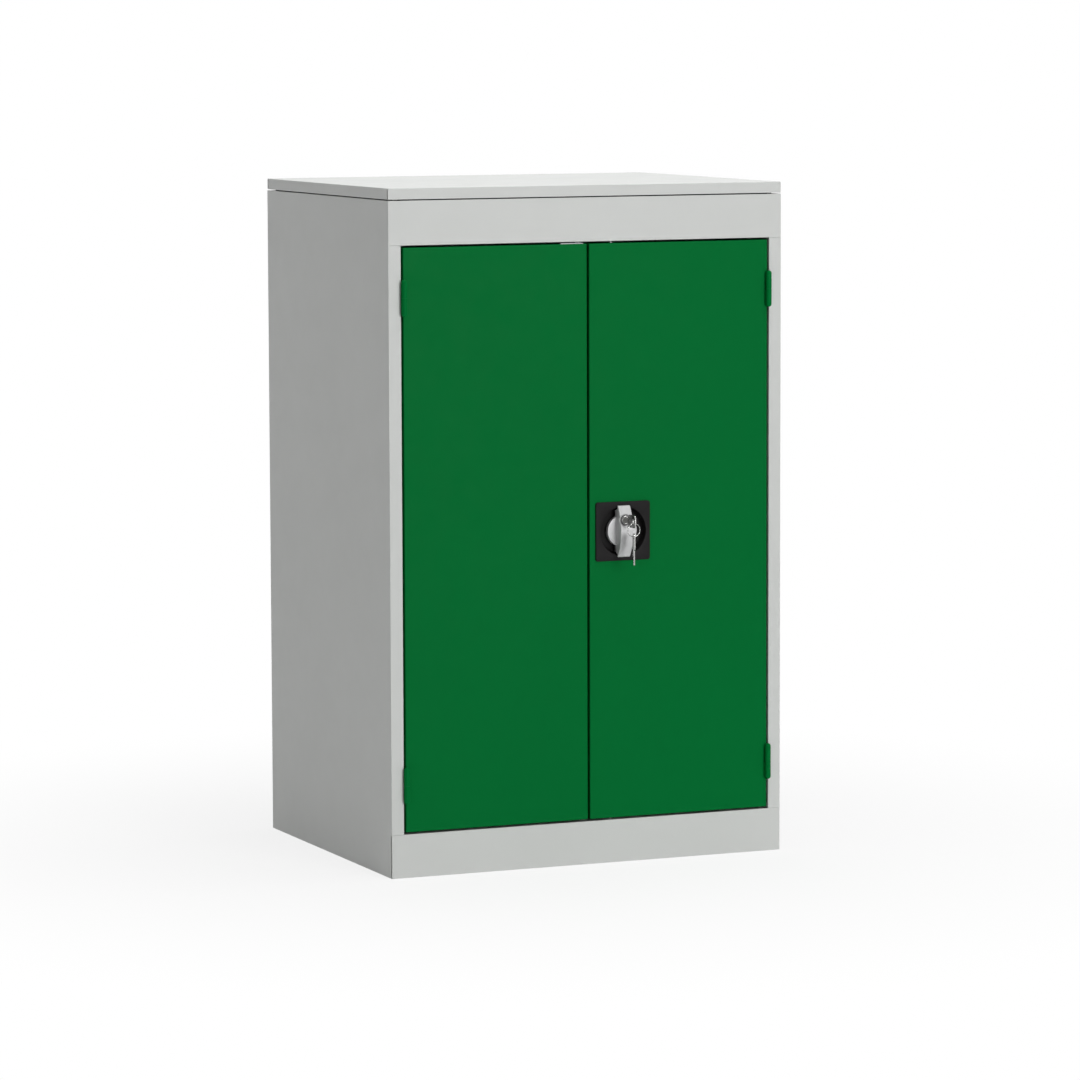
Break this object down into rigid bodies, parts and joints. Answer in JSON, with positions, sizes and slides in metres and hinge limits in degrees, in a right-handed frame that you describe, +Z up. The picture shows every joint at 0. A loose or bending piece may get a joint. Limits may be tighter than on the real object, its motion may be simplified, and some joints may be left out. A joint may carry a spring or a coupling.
{
  "type": "tool cabinet",
  "caption": "Free-standing sheet-steel tool cabinet with a pair of hinged doors, a recessed wing-handle rod lock and adjustable shelves inside.",
  "frame": {"origin": "middle of the carcass's footprint, on the floor", "axes": "+Z up, +X right seen from the front, the doors face -Y"},
  "size_m": [0.625, 0.5513, 1],
  "materials": {
    "grey_powder_coat": "satin powder coat, light grey",
    "green_powder_coat": "satin powder coat, mid green",
    "zinc_plated_steel": "clear-passivated zinc plating",
    "bright_steel": "bright drawn steel bar",
    "dark_zinc_casting": "darkened zinc casting",
    "black_plastic": "fine-grained moulded plastic",
    "black_rubber": "matt",
    "satin_zinc_casting": "satin zinc casting, lacquered silver",
    "bright_nickel": "bright nickel plating"
  },
  "bodies": {
    "cabinet": {"left_side_panel": "grey_powder_coat", "right_side_panel": "grey_powder_coat", "back_panel": "grey_powder_coat", "top_rail": "grey_powder_coat", "plinth": "grey_powder_coat", "base_pan": "grey_powder_coat", "base_stiffener": "grey_powder_coat", "top_cap": "grey_powder_coat", "cap_spacers": "black_rubber", "cap_screws": "zinc_plated_steel", "front_left_upright": "grey_powder_coat", "front_right_upright": "grey_powder_coat", "rear_left_upright": "grey_powder_coat", "rear_right_upright": "grey_powder_coat", "upper_shelf_clips": "zinc_plated_steel", "lower_shelf_clips": "zinc_plated_steel", "back_rivets": "zinc_plated_steel", "door_buffers": "black_rubber", "upper_left_hinge_base": "green_powder_coat", "lower_left_hinge_base": "green_powder_coat", "upper_right_hinge_base": "green_powder_coat", "lower_right_hinge_base": "green_powder_coat", "hinge_pins": "green_powder_coat"},
    "left_door": {"left_door_panel": "green_powder_coat", "left_door_stiffener": "green_powder_coat", "left_door_knuckles": "green_powder_coat", "bolt_bracket": "zinc_plated_steel"},
    "left_bolt": {"flush_bolt": "zinc_plated_steel"},
    "right_door": {"right_door_panel": "green_powder_coat", "right_door_stiffener": "green_powder_coat", "right_door_knuckles": "green_powder_coat", "escutcheon": "black_plastic", "escutcheon_nuts": "zinc_plated_steel", "lock_case": "zinc_plated_steel", "lock_cover": "zinc_plated_steel", "cover_screws": "zinc_plated_steel", "case_screws": "zinc_plated_steel", "rod_guides": "zinc_plated_steel", "rod_bushes": "black_plastic"},
    "handle": {"wing_handle": "satin_zinc_casting", "cylinder_housing": "dark_zinc_casting", "pinion": "zinc_plated_steel", "cam_tongue": "zinc_plated_steel", "cam_nut": "zinc_plated_steel"},
    "plug": {"cylinder_plug": "bright_nickel"},
    "pin": {"locking_pin": "zinc_plated_steel"},
    "first_key": {"key": "bright_nickel"},
    "ring": {"key_ring": "bright_nickel"},
    "spare_key": {"second_key": "bright_nickel"},
    "rod_up": {"upper_rod": "bright_steel"},
    "rod_down": {"lower_rod": "bright_steel"},
    "shelf_up": {"upper_shelf": "grey_powder_coat", "upper_shelf_stiffener": "grey_powder_coat"},
    "shelf_low": {"lower_shelf": "grey_powder_coat", "lower_shelf_stiffener": "grey_powder_coat"}
  },
  "joints": [
    {"name": "left_door_hinge", "type": "hinge", "parent": "cabinet", "child": "left_door", "pos_m": [-0.2903, -0.2548, 0.489], "axis": [0, 0, -1], "range_deg": [0, 170]},
    {"name": "right_door_hinge", "type": "hinge", "parent": "cabinet", "child": "right_door", "pos_m": [0.2903, -0.2548, 0.489], "axis": [0, 0, 1], "range_deg": [0, 170]},
    {"name": "handle_turn", "type": "hinge", "parent": "right_door", "child": "handle", "pos_m": [0.0544, -0.25, 0.4919], "axis": [0, 1, 0], "range_deg": [0, 90]},
    {"name": "upper_rod_slide", "type": "slide", "parent": "right_door", "child": "rod_up", "axis": [0, 0, 1], "range_m": [0, 0.0128]},
    {"name": "lower_rod_slide", "type": "slide", "parent": "right_door", "child": "rod_down", "axis": [0, 0, -1], "range_m": [0, 0.0128]},
    {"name": "key_turn", "type": "hinge", "parent": "handle", "child": "plug", "pos_m": [0.0544, -0.25, 0.509], "axis": [0, 1, 0], "range_deg": [0, 90]},
    {"name": "locking_pin_slide", "type": "slide", "parent": "handle", "child": "pin", "axis": [0, 1, 0], "range_m": [0, 0.0042]},
    {"name": "key_pull", "type": "slide", "parent": "plug", "child": "first_key", "axis": [0, -1, 0], "range_m": [0, 0.02]},
    {"name": "ring_swing", "type": "hinge", "parent": "first_key", "child": "ring", "pos_m": [0.0544, -0.291, 0.5065], "axis": [1, 0, 0], "range_deg": [-60, 10]},
    {"name": "second_key_swing", "type": "hinge", "parent": "ring", "child": "spare_key", "pos_m": [0.0544, -0.291, 0.487], "axis": [1, 0, 0], "range_deg": [-50, 10]},
    {"name": "flush_bolt_slide", "type": "slide", "parent": "left_door", "child": "left_bolt", "axis": [0, 0, 1], "range_m": [0, 0.012]},
    {"name": "upper_shelf_lift", "type": "slide", "parent": "cabinet", "child": "shelf_up", "axis": [0, 0, 1], "range_m": [0, 0.02]},
    {"name": "lower_shelf_lift", "type": "slide", "parent": "cabinet", "child": "shelf_low", "axis": [0, 0, 1], "range_m": [0, 0.02]}
  ],
  "couplings": [
    {"joint": "upper_rod_slide", "follows": "handle_turn", "m_per_rad": 0.008},
    {"joint": "lower_rod_slide", "follows": "handle_turn", "m_per_rad": 0.008},
    {"joint": "locking_pin_slide", "follows": "key_turn", "m_per_rad": 0.0025}
  ]
}
